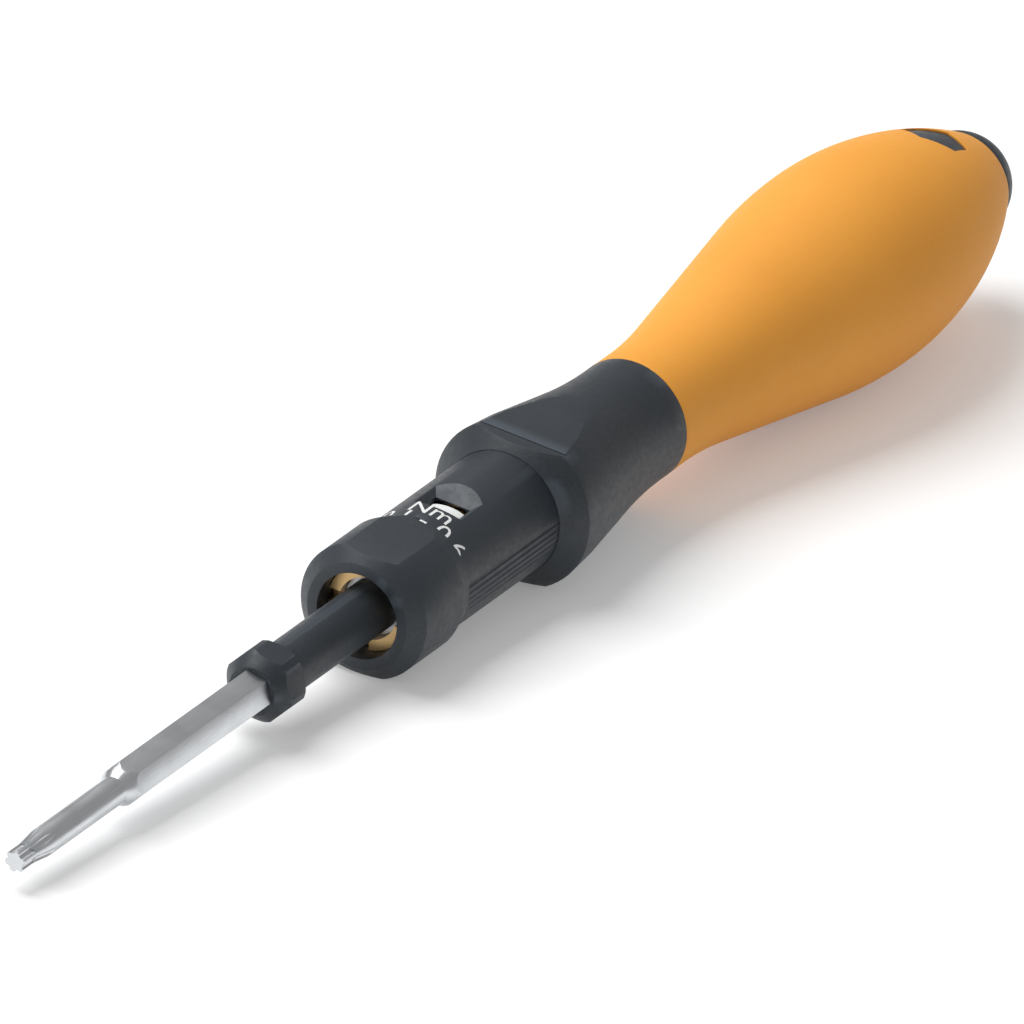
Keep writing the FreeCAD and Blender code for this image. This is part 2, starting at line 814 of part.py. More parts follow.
def make_main_spring():
    start = D.drum_end.value + D.running.value + D.spring_wire.value / 2
    end = washer_start.value - D.running.value - D.spring_wire.value / 2
    helix = Part.makeHelix(D.spring_pitch.value, end - start, D.spring_radius.value)
    wire = Part.Wire(helix.Edges)
    first = FreeCAD.Vector(D.spring_radius.value, 0, 0)
    section = Part.Wire(Part.makeCircle(D.spring_wire.value / 2, first, FreeCAD.Vector(0, 1, 0)))
    spring = wire.makePipeShell([section], True, True)
    spring.rotate(FreeCAD.Vector(), FreeCAD.Vector(0, 1, 0), 90)
    spring.translate(FreeCAD.Vector(start, 0, 0))
    return set_shape("main_spring", spring)


# ---------------------------------------------------------------- clutch and drive

def make_spring_washer():
    body = new_body("spring_washer")
    bore = D.spindle_rear_radius + D.running
    revolve(body, "washer_turned", [
        (washer_start, bore),
        (washer_start, D.plate_radius),
        (plate_start, D.plate_radius),
        (plate_start, bore),
    ])
    return body


def make_clutch_plate():
    body = new_body("clutch_plate")
    bore = D.spindle_rear_radius + D.running
    revolve(body, "plate_turned", [
        (plate_start, bore),
        (plate_start, D.plate_radius),
        (plate_end, D.plate_radius),
        (plate_end, bore),
    ])
    # keys above and below, which slide in the handle's keyways
    keys = new_sketch(body, "key_outline", "YZ", plate_start)
    half = D.key_width / 2 - D.key_clearance
    root = D.plate_radius - D.key_depth
    tip = D.core_bore + D.key_depth - D.key_clearance
    draw_outline(keys, [(-half, root), (half, root), (half, tip), (-half, tip)])
    pad = body.newObject("PartDesign::Pad", "key")
    pad.Profile = keys
    pad.Length = D.plate_thickness.value
    pad.setExpression("Length", D.plate_thickness.text)
    body.Tip = pad
    mirror_over(body, "keys", pad, "XY")
    return cut_from(body, ball_seats("ball_seats", D.clutch_ball_count))


def make_spindle():
    body = new_body("spindle")
    catch_half = D.catch_ring_width / 2 + D.running
    journal_end = rear_race_end + D.journal_length
    revolve(body, "spindle_turned", [
        (D.spindle_front, 0),
        (D.spindle_front, D.spindle_radius),
        (D.catch_station - catch_half, D.spindle_radius),
        (D.catch_station - catch_half, D.catch_groove_radius),
        (D.catch_station + catch_half, D.catch_groove_radius),
        (D.catch_station + catch_half, D.spindle_radius),
        (D.spindle_step, D.spindle_radius),
        (D.spindle_step, D.spindle_rear_radius),
        (D.flange_start, D.spindle_rear_radius),
        (D.flange_start, D.flange_radius),
        (flange_end, D.flange_radius),
        (flange_end, D.journal_radius),
        (journal_end, D.journal_radius),
        (journal_end, 0),
    ])
    socket = new_sketch(body, "socket_outline", "YZ", D.spindle_front)
    draw_outline(socket, hexagon(D.socket_flats, D.hex_clock))
    cut(body, "socket", socket, D.socket_depth, towards_normal=True)
    return cut_from(cut_from(body, ball_seats("detents", D.detent_count)), catch_hole())


def catch_hole():
    """Cross hole for the catch ball, square to one flat of the socket."""
    drill = doc.addObject("Part::Cylinder", "catch_hole")
    drill.setExpression("Radius", (D.catch_ball_radius + D.running).text)
    drill.setExpression("Height", D.spindle_radius.text)
    turn = FreeCAD.Rotation(FreeCAD.Vector(1, 0, 0), catch_clock.value)
    drill.Placement = FreeCAD.Placement(FreeCAD.Vector(D.catch_station.value, 0, 0), turn)
    drill.setExpression("Placement.Base.x", D.catch_station.text)
    return drill


def make_catch_ball():
    angle = math.radians(catch_clock.value)
    radius = catch_ball_centre.value
    centre = FreeCAD.Vector(D.catch_station.value, -radius * math.sin(angle), radius * math.cos(angle))
    return set_shape("catch_ball", Part.makeSphere(D.catch_ball_radius.value, centre))


def make_catch_ring():
    """Open spring ring that holds the catch ball in, its gap away from the ball."""
    body = new_body("catch_ring")
    inner = catch_ball_centre + D.catch_ball_radius + D.running / 2
    half = D.catch_ring_width / 2
    ring = revolve(body, "ring_turned", [
        (D.catch_station - half, inner),
        (D.catch_station - half, inner + D.catch_ring_thickness),
        (D.catch_station + half, inner + D.catch_ring_thickness),
        (D.catch_station + half, inner),
    ])
    ring.Angle = 360 - D.catch_ring_gap.value
    ring.setExpression("Angle", (Size.of(360) - D.catch_ring_gap).text)
    return body


def make_race(label, start):
    """Thrust bearing washer, with a groove that its balls run in."""
    body = new_body(label)
    bore = D.journal_radius + D.running
    end = start + D.race_thickness
    revolve(body, "race_turned", [(start, bore), (start, D.race_radius), (end, D.race_radius), (end, bore)])
    track = new_sketch(body, "track_outline", "XZ")
    draw_circle(track, ball_station, D.thrust_ball_circle, D.thrust_ball_radius + D.running)
    groove = body.newObject("PartDesign::Groove", "track")
    groove.Profile = track
    groove.ReferenceAxis = (track, ["H_Axis"])
    groove.Angle = 360
    body.Tip = groove
    return body


def make_thrust_cage():
    body = new_body("thrust_cage")
    half = D.cage_thickness / 2
    bore = D.journal_radius + D.running
    revolve(body, "cage_turned", [
        (ball_station - half, bore),
        (ball_station - half, D.cage_radius),
        (ball_station + half, D.cage_radius),
        (ball_station + half, bore),
    ])
    hole = new_sketch(body, "pocket_outline", "YZ", ball_station - half)
    draw_circle(hole, 0, D.thrust_ball_circle, D.thrust_ball_radius + D.running)
    pocket = cut(body, "pocket", hole, D.cage_thickness, towards_normal=True)
    round_pattern(body, "pockets", pocket, D.thrust_ball_count, 360)
    return body


def make_ball_set(label, count, station, circle, radius):
    return set_shape(label, ring_of_balls(int(count.value), station.value, circle.value, radius.value))


# ---------------------------------------------------------------- assembly

def rest_placement(left, right):
    """Lays the tool down on the front edge of its ring's lower flat and on its grip.

    The rest line runs from that edge to where it touches the arc in front of the
    grip's crown. The origin is then set under the middle of the tool's whole box.
    """
    chamfer_share = (D.ring_flat.value - D.ring_face.value) / (D.ring_radius.value - D.ring_face.value)
    edge = FreeCAD.Vector(D.barrel_front.value + D.ring_nose.value * chamfer_share, 0, -D.ring_flat.value)
    arc = D.grip_crown_arc.value
    along = D.grip_crown.value - edge.x
    above = arc - D.grip_crown_radius.value - edge.z
    tilt = math.degrees(math.atan2(along, above) - math.acos(arc / math.hypot(along, above)))
    turn = FreeCAD.Rotation(FreeCAD.Vector(0, 1, 0), -tilt)
    lift = -turn.multVec(edge).z
    ends = []
    for piece in (left, right):
        turned = piece.Shape.copy()
        turned.Placement = FreeCAD.Placement(FreeCAD.Vector(), turn)
        box = turned.optimalBoundingBox(False, False)
        ends += [box.XMin, box.XMax]
    return FreeCAD.Placement(FreeCAD.Vector(-(min(ends) + max(ends)) / 2, 0, lift), turn)


def check_document(pieces):
    """Stops before anything is written if a feature failed or a piece isn't sound."""
    for item in doc.Objects:
        if "Invalid" in item.State or "Error" in item.State:
            raise RuntimeError(f"{item.Name} failed: {item.State}")
    for piece in pieces:
        shape = piece.Shape
        if shape.isNull() or not shape.isValid() or not shape.Solids or shape.Volume <= 0:
            raise RuntimeError(f"{piece.Label} has no sound shape")


def main():
    pieces = [
        make_blade(),
        make_blade_sleeve(),
        make_barrel(),
        make_friction_washer(),
        make_handle_core(),
        make_grip(),
        make_end_cap(),
        make_adjusting_screw(),
        make_scale_drum(),
        make_main_spring(),
        make_spring_washer(),
        make_clutch_plate(),
        make_ball_set("clutch_balls", D.clutch_ball_count, clutch_ball_station,
                      D.clutch_ball_circle, D.clutch_ball_radius),
        make_spindle(),
        make_catch_ball(),
        make_catch_ring(),
        make_race("front_race", flange_end),
        make_race("rear_race", rear_race_start),
        make_thrust_cage(),
        make_ball_set("thrust_balls", D.thrust_ball_count, ball_station,
                      D.thrust_ball_circle, D.thrust_ball_radius),
    ]
    doc.recompute()
    check_document(pieces)
    by_label = {piece.Label: piece for piece in pieces}
    laid_down = rest_placement(by_label["blade"], by_label["end_cap"])
    for piece in pieces:
        piece.Placement = laid_down
    doc.recompute()
    check_document(pieces)
    os.makedirs("parts", exist_ok=True)
    for piece in pieces:
        piece.Shape.exportStep(f"parts/{piece.Label}.step")
        print(piece.Label, len(piece.Shape.Solids), round(piece.Shape.Volume, 2), "mm3")
    print("laid down:", laid_down.Base, laid_down.Rotation.Axis, math.degrees(laid_down.Rotation.Angle))


main()
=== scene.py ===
"""Looks of an adjustable torque screwdriver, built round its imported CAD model."""

import json
import math

import bmesh
import bpy
from bpy.props import FloatProperty, FloatVectorProperty, IntProperty, PointerProperty
from mathutils import Matrix, Vector


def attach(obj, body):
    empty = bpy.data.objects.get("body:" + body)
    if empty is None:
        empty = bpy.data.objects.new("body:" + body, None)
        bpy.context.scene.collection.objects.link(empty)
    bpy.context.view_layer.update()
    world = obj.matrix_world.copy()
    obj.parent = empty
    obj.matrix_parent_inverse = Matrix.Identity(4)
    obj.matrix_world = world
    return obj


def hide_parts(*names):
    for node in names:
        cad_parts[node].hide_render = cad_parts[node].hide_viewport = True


bl_info = {
    "name": "Torque Screwdriver",
    "version": (1, 0, 0),
    "blender": (4, 5, 0),
    "location": "View3D > Sidebar > Screwdriver",
    "description": "Dresses an adjustable torque screwdriver and sets its stage",
    "category": "Add Mesh",
}

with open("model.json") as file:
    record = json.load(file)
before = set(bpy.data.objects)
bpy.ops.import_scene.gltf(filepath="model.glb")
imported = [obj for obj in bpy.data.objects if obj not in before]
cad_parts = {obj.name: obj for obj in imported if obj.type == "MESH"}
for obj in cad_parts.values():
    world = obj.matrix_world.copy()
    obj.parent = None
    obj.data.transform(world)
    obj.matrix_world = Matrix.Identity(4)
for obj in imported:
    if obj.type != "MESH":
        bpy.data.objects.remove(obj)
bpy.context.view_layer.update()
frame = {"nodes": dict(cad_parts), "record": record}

MM = 0.001


def mount(name):
    return next(m for m in frame["record"]["mounts"] if m["name"] == name)


# the tool's own axes: X from the driver tip to the handle's end, Z out of its top flats
TIP = Vector(mount("driver_tip")["pos_m"])
ALONG = -Vector(mount("driver_tip")["axis"])
ACROSS = Vector((0, 1, 0))
TOP = ALONG.cross(ACROSS)
TOOL = Matrix((
    (ALONG.x * MM, ACROSS.x * MM, TOP.x * MM, TIP.x),
    (ALONG.y * MM, ACROSS.y * MM, TOP.y * MM, TIP.y),
    (ALONG.z * MM, ACROSS.z * MM, TOP.z * MM, TIP.z),
    (0, 0, 0, 1),
))


# ---------------------------------------------------------------- sizes and colours

def millimetres(name, description, default):
    return FloatProperty(name=name, description=description, default=default, min=0.0)


def colour(name, description, default):
    return FloatVectorProperty(
        name=name, description=description, default=default, size=3, min=0, max=1, subtype="COLOR")


class BladeSettings(bpy.types.PropertyGroup):
    edge: millimetres("Blade Edge", "Rounding of the steel blade's edges, in mm", 0.09)
    sleeve_edge: millimetres("Sleeve Edge", "Rounding of the moulded sleeve's edges, in mm", 0.28)
    steel: colour("Steel", "Plated steel of the blade", (0.66, 0.68, 0.70))
    roughness: FloatProperty(
        name="Steel Roughness", description="Roughness of the plated steel", default=0.3, min=0, max=1,
        subtype="FACTOR")


class BarrelSettings(bpy.types.PropertyGroup):
    edge: millimetres("Edge", "Rounding of the moulded edges, in mm", 0.16)
    plastic: colour("Plastic", "Bluish black moulded plastic", (0.021, 0.027, 0.034))
    print_white: colour("Print", "White of the printed range and the scale drum", (0.86, 0.87, 0.86))
    print_height: millimetres("Print Height", "Height of the printed figures, in mm", 2.3)


class HandleSettings(bpy.types.PropertyGroup):
    grip_edge: millimetres("Grip Edge", "Rounding of the grip's lips, in mm", 0.18)
    rubber: colour("Grip", "Warm yellow elastomer of the grip", (0.93, 0.40, 0.055))


class MechanismSettings(bpy.types.PropertyGroup):
    steel: colour("Bearing Steel", "Hardened steel of spindle, plate, races and balls", (0.50, 0.50, 0.51))
    bronze: colour("Bronze", "Setting screw, friction washer and ball cage", (0.62, 0.42, 0.2))


class StageSettings(bpy.types.PropertyGroup):
    floor: colour("Floor", "Pale floor and backdrop", (0.9, 0.9, 0.9))
    view_width: FloatProperty(
        name="View Width", description="Width of the camera's field at the tool", default=0.09846, unit="LENGTH")
    camera_distance: FloatProperty(
        name="Camera Distance", description="From the camera to the middle of its field", default=8.0,
        unit="LENGTH")


def settings():
    return bpy.context.scene.screwdriver


class ScrewdriverSettings(bpy.types.PropertyGroup):
    blade: PointerProperty(type=BladeSettings)
    barrel: PointerProperty(type=BarrelSettings)
    handle: PointerProperty(type=HandleSettings)
    mechanism: PointerProperty(type=MechanismSettings)
    stage: PointerProperty(type=StageSettings)


# ---------------------------------------------------------------- mesh helpers

def put_piece(name, mesh, body, material):
    piece = bpy.data.objects.new(name, mesh)
    bpy.context.scene.collection.objects.link(piece)
    mesh.materials.clear()
    mesh.materials.append(material)
    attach(piece, body)
    return piece


def soften(name, node, body, material, edge, segments=3, crease=24.0):
    """Stands for a CAD node with its creases rounded off, as a mould or tumbling leaves them."""
    mesh = frame["nodes"][node].data.copy()
    mesh.name = name
    form = bmesh.new()
    form.from_mesh(mesh)
    bmesh.ops.remove_doubles(form, verts=form.verts, dist=1e-6)
    bmesh.ops.dissolve_limit(
        form, angle_limit=math.radians(0.3), verts=form.verts, edges=form.edges, use_dissolve_boundaries=False)
    sharp = [e for e in form.edges if len(e.link_faces) == 2 and e.calc_face_angle() > math.radians(crease)]
    bmesh.ops.bevel(
        form, geom=sharp, offset=edge * MM, offset_type="OFFSET", segments=segments, profile=0.5,
        affect="EDGES", clamp_overlap=True)
    bmesh.ops.triangulate(form, faces=[f for f in form.faces if len(f.verts) > 4])
    for face in form.faces:
        face.smooth = True
    for e in form.edges:
        e.smooth = not (len(e.link_faces) == 2 and e.calc_face_angle() > math.radians(crease))
    form.to_mesh(mesh)
    form.free()
    mesh.normals_split_custom_set([(0, 0, 0)] * len(mesh.loops))
    piece = put_piece(name, mesh, body, material)
    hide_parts(node)
    return piece


def wrap_print(name, text, height, station, clock, radius, body, material, thickness=0.015):
    """Flat figures wrapped round the barrel, their tops towards the handle."""
    curve = bpy.data.curves.new(name, "FONT")
    curve.body = text
    curve.size = 1.0
    curve.align_x = "CENTER"
    curve.align_y = "CENTER"
    curve.resolution_u = 6
    flat = bpy.data.objects.new(name, curve)
    bpy.context.scene.collection.objects.link(flat)
    bpy.context.view_layer.update()
    mesh = bpy.data.meshes.new_from_object(flat)
    bpy.data.objects.remove(flat)
    form = bmesh.new()
    form.from_mesh(mesh)
    bmesh.ops.remove_doubles(form, verts=form.verts, dist=1e-5)
    scale = height / 0.73
    for v in form.verts:
        v.co *= scale
    for _ in range(3):
        long_edges = [e for e in form.edges if e.calc_length() > 0.35]
        if long_edges:
            bmesh.ops.subdivide_edges(form, edges=long_edges, cuts=1)
            bmesh.ops.triangulate(form, faces=[f for f in form.faces if len(f.verts) > 3])
    lifted = bmesh.ops.extrude_face_region(form, geom=form.faces[:])
    for v in [g for g in lifted["geom"] if isinstance(g, bmesh.types.BMVert)]:
        v.co.z += thickness
    for v in form.verts:
        turn = math.radians(clock) + v.co.x / radius
        r = radius + v.co.z
        v.co = TOOL @ Vector((station + v.co.y, -r * math.sin(turn), r * math.cos(turn)))
    bmesh.ops.recalc_face_normals(form, faces=form.faces)
    form.to_mesh(mesh)
    form.free()
    return put_piece(name, mesh, body, material)


# ---------------------------------------------------------------- finishes

class Finish:
    """A node material on a Principled shader, with short words for its nodes."""

    def __init__(self, name):
        self.material = bpy.data.materials.new(name)
        self.material.use_nodes = True
        self.tree = self.material.node_tree
        self.tree.nodes.clear()
        self.out = self.node("ShaderNodeOutputMaterial")
        self.shader = self.node("ShaderNodeBsdfPrincipled")
        self.link(self.shader.outputs["BSDF"], self.out.inputs["Surface"])
        self.where = self.node("ShaderNodeTexCoord").outputs["Object"]

    def node(self, kind, **values):
        node = self.tree.nodes.new(kind)
        for key, value in values.items():
            setattr(node, key, value)
        return node

    def link(self, a, b):
        self.tree.links.new(a, b)

    def set(self, **values):
        for key, value in values.items():
            self.shader.inputs[key.replace("_", " ")].default_value = value

    def stretched(self, scale):
        """Object coordinates turned into the tool's axes, scaled along each."""
        mapping = self.node("ShaderNodeMapping", vector_type="TEXTURE")
        mapping.inputs["Rotation"].default_value = (0, -math.asin(ALONG.z), 0)
        self.link(self.where, mapping.inputs["Vector"])
        times = self.node("ShaderNodeVectorMath", operation="MULTIPLY")
        times.inputs[1].default_value = scale
        self.link(mapping.outputs["Vector"], times.inputs[0])
        return times.outputs["Vector"]

    def noise(self, scale, detail=2.0, roughness=0.5, vector=None):
        noise = self.node("ShaderNodeTexNoise")
        noise.inputs["Scale"].default_value = scale
        noise.inputs["Detail"].default_value = detail
        noise.inputs["Roughness"].default_value = roughness
        self.link(vector or self.where, noise.inputs["Vector"])
        return noise.outputs["Fac"]

    def ramp(self, value, low, high, to_low=0.0, to_high=1.0):
        ranged = self.node("ShaderNodeMapRange")
        for key, number in (("From Min", low), ("From Max", high), ("To Min", to_low), ("To Max", to_high)):
            ranged.inputs[key].default_value = number
        self.link(value, ranged.inputs["Value"])
        return ranged.outputs["Result"]

    def blend(self, factor, first, second, mode="MIX"):
        mix = self.node("ShaderNodeMix", data_type="RGBA", blend_type=mode)
        for socket, value in ((mix.inputs[6], first), (mix.inputs[7], second)):
            if isinstance(value, bpy.types.NodeSocket):
                self.link(value, socket)
            else:
                socket.default_value = (*value, 1)
        if isinstance(factor, bpy.types.NodeSocket):
            self.link(factor, mix.inputs[0])
        else:
            mix.inputs[0].default_value = factor
        return mix.outputs[2]

    def bump(self, *layers):
        """Each layer is (height, strength, distance in mm)."""
        before = None
        for height, strength, distance in layers:
            bump = self.node("ShaderNodeBump")
            bump.inputs["Strength"].default_value = strength
            bump.inputs["Distance"].default_value = distance * MM
            self.link(height, bump.inputs["Height"])
            if before:
                self.link(before, bump.inputs["Normal"])
            before = bump.outputs["Normal"]
        self.link(before, self.shader.inputs["Normal"])

    def wear(self, low=0.52, high=0.62):
        """Where the surface is convex, from nought to one."""
        return self.ramp(self.node("ShaderNodeNewGeometry").outputs["Pointiness"], low, high)

    def colour(self, value):
        self.link(value, self.shader.inputs["Base Color"])

    def rough(self, value):
        self.link(value, self.shader.inputs["Roughness"])


def lighter(shade, share):
    return tuple(min(1.0, c * share) for c in shade)


def moulded_plastic(name, shade):
    """Glass filled nylon: a fine spark-eroded grain, a little polished on the edges."""
    f = Finish(name)
    grain = f.noise(6500, 3, 0.6)
    coarse = f.noise(1500, 2)
    cloud = f.noise(90, 3)
    tone = f.blend(f.ramp(cloud, 0.3, 0.7), lighter(shade, 0.85), lighter(shade, 1.25))
    tone = f.blend(f.ramp(grain, 0.45, 0.75, 0, 0.5), tone, lighter(shade, 2.1))
    f.colour(f.blend(f.wear(), tone, lighter(shade, 2.4)))
    f.rough(f.ramp(coarse, 0.3, 0.7, 0.42, 0.54))
    f.bump((coarse, 0.25, 0.03), (grain, 0.55, 0.012))
    f.set(Specular_IOR_Level=0.5)
    return f.material


def grip_elastomer(name, shade):
    """Matt elastomer with a faint pebbled skin and a soft bloom."""
    f = Finish(name)
    grain = f.noise(5200, 3, 0.55)
    pebble = f.noise(1300, 2)
    cloud = f.noise(60, 3)
    warm = (shade[0] * 0.97, shade[1] * 0.93, shade[2] * 0.85)
    tone = f.blend(f.ramp(cloud, 0.3, 0.7), warm, lighter(shade, 1.03))
    tone = f.blend(f.ramp(grain, 0.35, 0.7, 0, 0.35), tone, lighter(shade, 0.9))
    f.colour(tone)
    f.rough(f.ramp(pebble, 0.3, 0.7, 0.56, 0.66))
    f.bump((pebble, 0.12, 0.04), (grain, 0.4, 0.012))
    f.set(Specular_IOR_Level=0.35, Subsurface_Weight=0.08, Subsurface_Scale=0.0008)
    return f.material


def plated_steel(name, shade, roughness):
    """Drawn and plated steel, with fine lines along the tool."""
    f = Finish(name)
    lines = f.noise(1, 4, 0.6, f.stretched((260, 9000, 9000)))
    cloud = f.noise(240, 3)
    tone = f.blend(f.ramp(lines, 0.3, 0.7), lighter(shade, 0.9), lighter(shade, 1.06))
    f.colour(f.blend(f.ramp(cloud, 0.5, 0.8, 0, 0.35), tone, lighter(shade, 0.8)))
    f.rough(f.ramp(cloud, 0.3, 0.7, roughness - 0.05, roughness + 0.07))
    f.bump((lines, 0.25, 0.01), (cloud, 0.1, 0.02))
    f.set(Metallic=1.0)
    return f.material


def turned_metal(name, shade, roughness, rings=2600):
    """Turned metal: fine rings round the tool's axis."""
    f = Finish(name)
    lines = f.noise(1, 3, 0.6, f.stretched((rings, 120, 120)))
    cloud = f.noise(300, 3)
    tone = f.blend(f.ramp(lines, 0.3, 0.7), lighter(shade, 0.84), lighter(shade, 1.08))
    f.colour(f.blend(f.ramp(cloud, 0.45, 0.8, 0, 0.4), tone, lighter(shade, 0.72)))
    f.rough(f.ramp(lines, 0.3, 0.7, roughness - 0.06, roughness + 0.08))
    f.bump((lines, 0.3, 0.01),)
    f.set(Metallic=1.0)
    return f.material


def white_print(name, shade):
    """Pad-printed white, thin enough to show the grain under it."""
    f = Finish(name)
    grain = f.noise(6500, 3, 0.6)
    tone = f.blend(f.ramp(grain, 0.5, 0.8, 0, 0.45), shade, lighter(shade, 0.72))
    f.colour(tone)
    f.rough(f.ramp(grain, 0.3, 0.7, 0.45, 0.6))
    f.bump((grain, 0.4, 0.01),)
    return f.material


def pale_floor(name, shade):
    """Studio floor that shows white in the camera and in reflections, and keeps the shadow."""
    f = Finish(name)
    cloud = f.noise(6, 2)
    f.colour(f.blend(f.ramp(cloud, 0.3, 0.7), lighter(shade, 0.995), shade))
    f.rough(f.ramp(cloud, 0.3, 0.7, 0.9, 0.95))
    f.set(Specular_IOR_Level=0.0)
    rays = f.node("ShaderNodeLightPath")
    seen = f.node("ShaderNodeMath", operation="MAXIMUM")
    f.link(rays.outputs["Is Camera Ray"], seen.inputs[0])
    f.link(rays.outputs["Is Glossy Ray"], seen.inputs[1])
    either = f.node("ShaderNodeMath", operation="MAXIMUM")
    f.link(seen.outputs[0], either.inputs[0])
    f.link(rays.outputs["Is Transmission Ray"], either.inputs[1])
    lift = f.node("ShaderNodeMath", operation="MULTIPLY")
    lift.inputs[1].default_value = 0.22
    f.link(either.outputs[0], lift.inputs[0])
    glow = f.node("ShaderNodeEmission")
    f.link(lift.outputs[0], glow.inputs["Strength"])
    total = f.node("ShaderNodeAddShader")
    f.link(f.shader.outputs["BSDF"], total.inputs[0])
    f.link(glow.outputs["Emission"], total.inputs[1])
    f.link(total.outputs["Shader"], f.out.inputs["Surface"])
    return f.material


def finish_node(node, material):
    """A CAD node that keeps its shape takes a finish in its own slots."""
    piece = frame["nodes"][node]
    if not piece.data.materials:
        piece.data.materials.append(material)
    for i in range(len(piece.data.materials)):
        piece.data.materials[i] = material
    return piece


# ---------------------------------------------------------------- operators

class SCREWDRIVER_OT_blade(bpy.types.Operator):
    """Steel blade with its moulded sleeve and finger collar"""
    bl_idname = "screwdriver.blade"
    bl_label = "Blade"

    def execute(self, context):
        own = settings().blade
        steel = plated_steel("blade_steel", own.steel, own.roughness)
        soften("blade_steel_bar", "blade", "blade", steel, own.edge)
        plastic = moulded_plastic("sleeve_plastic", settings().barrel.plastic)
        soften("blade_sleeve_moulding", "blade_sleeve", "blade", plastic, own.sleeve_edge)
        return {"FINISHED"}


class SCREWDRIVER_OT_barrel(bpy.types.Operator):
    """Barrel with its ring, scale window and printed range"""
    bl_idname = "screwdriver.barrel"
    bl_label = "Barrel"

    def execute(self, context):
        own = settings().barrel
        plastic = moulded_plastic("barrel_plastic", own.plastic)
        soften("barrel_moulding", "barrel", "handle", plastic, own.edge, 2)
        ink = white_print("range_ink", own.print_white)
        wrap_print("range_print", "0.1 - 0.6", own.print_height, 74.7, 4.5, 6.45, "handle", ink)
        wrap_print("unit_print", "Nm", own.print_height, 76.9, 0.0, 6.45, "handle", ink)
        drum = white_print("drum_white", own.print_white)
        finish_node("scale_drum", drum)
        return {"FINISHED"}


class SCREWDRIVER_OT_handle(bpy.types.Operator):
    """Hard core with its collar, soft grip and end cap"""
    bl_idname = "screwdriver.handle"
    bl_label = "Handle"

    def execute(self, context):
        own = settings().handle
        black = settings().barrel.plastic
        plastic = moulded_plastic("core_plastic", black)
        soften("handle_core_moulding", "handle_core", "handle", plastic, settings().barrel.edge, 2)
        soften("end_cap_moulding", "end_cap", "handle", plastic, settings().barrel.edge)
        rubber = grip_elastomer("grip_elastomer", own.rubber)
        soften("grip_skin", "grip", "handle", rubber, own.grip_edge)
        return {"FINISHED"}


class SCREWDRIVER_OT_mechanism(bpy.types.Operator):
    """Setting screw, springs, clutch, spindle and thrust bearing"""
    bl_idname = "screwdriver.mechanism"
    bl_label = "Mechanism"

    def execute(self, context):
        own = settings().mechanism
        steel = turned_metal("mechanism_steel", own.steel, 0.32)
        bronze = turned_metal("mechanism_bronze", own.bronze, 0.36)
        spring = plated_steel("spring_wire", lighter(own.steel, 0.75), 0.34)
        for node in ("spindle", "spring_washer", "clutch_plate", "front_race", "rear_race"):
            finish_node(node, steel)
        polished = turned_metal("ball_steel", lighter(own.steel, 1.25), 0.14)
        for node in ("clutch_balls", "catch_ball", "thrust_balls"):
            finish_node(node, polished)
        for node in ("adjusting_screw", "friction_washer", "thrust_cage"):
            finish_node(node, bronze)
        for node in ("main_spring", "catch_ring"):
            finish_node(node, spring)
        return {"FINISHED"}


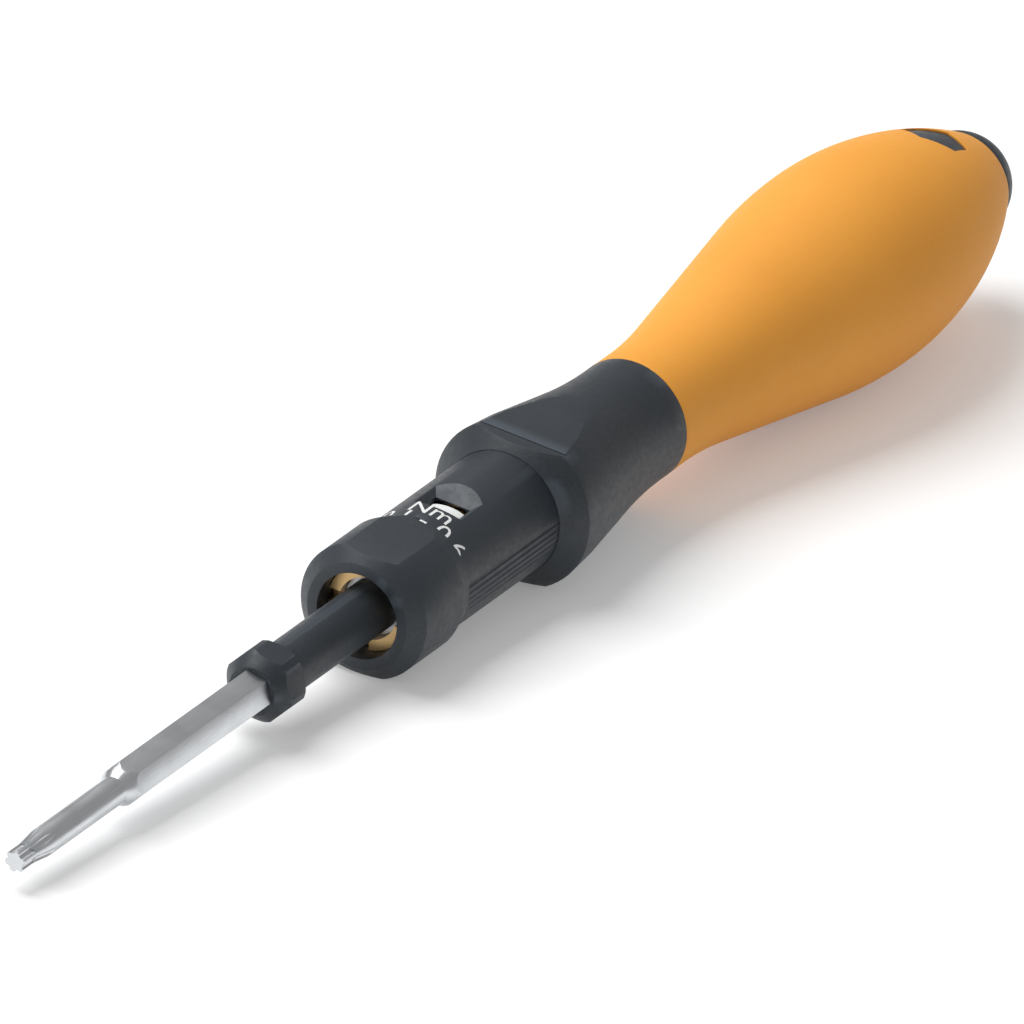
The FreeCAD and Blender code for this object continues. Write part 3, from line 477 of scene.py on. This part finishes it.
class SCREWDRIVER_OT_stage(bpy.types.Operator):
    """Pale floor, soft lamps and the camera"""
    bl_idname = "screwdriver.stage"
    bl_label = "Stage"

    def execute(self, context):
        own = settings().stage
        scene = context.scene
        form = bmesh.new()
        bmesh.ops.create_grid(form, x_segments=8, y_segments=8, size=3.0)
        mesh = bpy.data.meshes.new("studio_floor")
        form.to_mesh(mesh)
        form.free()
        floor = bpy.data.objects.new("studio_floor", mesh)
        scene.collection.objects.link(floor)
        floor.data.materials.append(pale_floor("pale_floor", own.floor))

        world = bpy.data.worlds.new("studio_air")
        world.use_nodes = True
        tree = world.node_tree
        tree.nodes.clear()
        rays = tree.nodes.new("ShaderNodeLightPath")
        seen = tree.nodes.new("ShaderNodeMath")
        seen.operation = "MAXIMUM"
        air = tree.nodes.new("ShaderNodeBackground")
        air.inputs["Strength"].default_value = 0.45
        white = tree.nodes.new("ShaderNodeBackground")
        white.inputs["Strength"].default_value = 1.0
        pick = tree.nodes.new("ShaderNodeMixShader")
        out = tree.nodes.new("ShaderNodeOutputWorld")
        tree.links.new(rays.outputs["Is Camera Ray"], seen.inputs[0])
        tree.links.new(rays.outputs["Is Transmission Ray"], seen.inputs[1])
        tree.links.new(seen.outputs[0], pick.inputs[0])
        tree.links.new(air.outputs[0], pick.inputs[1])
        tree.links.new(white.outputs[0], pick.inputs[2])
        tree.links.new(pick.outputs[0], out.inputs["Surface"])
        scene.world = world

        middle, right, up, back = self.view_axes()
        lamps = (
            ("overhead_softbox", (-0.30, 0.85, 0.10), 0.55, 5.2),
            ("left_softbox", (-0.75, 0.35, 0.45), 0.30, 1.4),
        )
        for name, (r, u, b), size, power in lamps:
            light = bpy.data.lights.new(name, "AREA")
            light.shape = "SQUARE"
            light.size = size
            light.energy = power
            lamp = bpy.data.objects.new(name, light)
            direction = (right * r + up * u + back * b).normalized()
            lamp.location = middle + direction * 0.8
            lamp.rotation_euler = direction.to_track_quat("Z", "Y").to_euler()
            lamp.visible_camera = False
            scene.collection.objects.link(lamp)

        lens = bpy.data.cameras.new("studio_camera")
        lens.type = "PERSP"
        lens.sensor_width = 36
        lens.lens = lens.sensor_width * own.camera_distance / own.view_width
        lens.clip_start = 0.05
        lens.clip_end = 20
        lens.dof.use_dof = False
        camera = bpy.data.objects.new("studio_camera", lens)
        turn = Matrix((right, up, back)).transposed().to_4x4()
        camera.matrix_world = Matrix.Translation(middle + back * own.camera_distance) @ turn
        scene.collection.objects.link(camera)
        scene.camera = camera
        scene.view_settings.view_transform = "Standard"
        return {"FINISHED"}

    def view_axes(self):
        """Middle of the view, and the view's right, up and back, in the row frame."""
        clock, slant = math.radians(39.5), math.radians(39.0)
        beside = TOP * math.cos(clock) - ACROSS * math.sin(clock)
        level = TOP * math.sin(clock) + ACROSS * math.cos(clock)
        rising = ALONG * math.sin(slant) + beside * math.cos(slant)
        right = rising * 0.8123 - level * 0.5832
        up = rising * 0.5832 + level * 0.8123
        back = right.cross(up)
        middle = TIP + right * 0.04784 + up * 0.03365
        return middle, right.normalized(), up.normalized(), back.normalized()


class SCREWDRIVER_PT_panel(bpy.types.Panel):
    """Lists the screwdriver's pieces"""
    bl_idname = "SCREWDRIVER_PT_panel"
    bl_label = "Torque Screwdriver"
    bl_space_type = "VIEW_3D"
    bl_region_type = "UI"
    bl_category = "Screwdriver"

    def draw(self, context):
        for group, operator in STEPS:
            box = self.layout.box()
            own = getattr(context.scene.screwdriver, group)
            for name in own.__annotations__:
                box.prop(own, name)
            box.operator(operator)


STEPS = (
    ("blade", "screwdriver.blade"),
    ("barrel", "screwdriver.barrel"),
    ("handle", "screwdriver.handle"),
    ("mechanism", "screwdriver.mechanism"),
    ("stage", "screwdriver.stage"),
)

CLASSES = (
    BladeSettings, BarrelSettings, HandleSettings, MechanismSettings, StageSettings, ScrewdriverSettings,
    SCREWDRIVER_OT_blade, SCREWDRIVER_OT_barrel, SCREWDRIVER_OT_handle, SCREWDRIVER_OT_mechanism,
    SCREWDRIVER_OT_stage, SCREWDRIVER_PT_panel,
)


def register():
    for cls in CLASSES:
        bpy.utils.register_class(cls)
    bpy.types.Scene.screwdriver = PointerProperty(type=ScrewdriverSettings)


def unregister():
    del bpy.types.Scene.screwdriver
    for cls in reversed(CLASSES):
        bpy.utils.unregister_class(cls)


def main():
    register()
    bpy.ops.screwdriver.blade()
    bpy.ops.screwdriver.barrel()
    bpy.ops.screwdriver.handle()
    bpy.ops.screwdriver.mechanism()
    bpy.ops.screwdriver.stage()


if __name__ == "__main__":
    main()
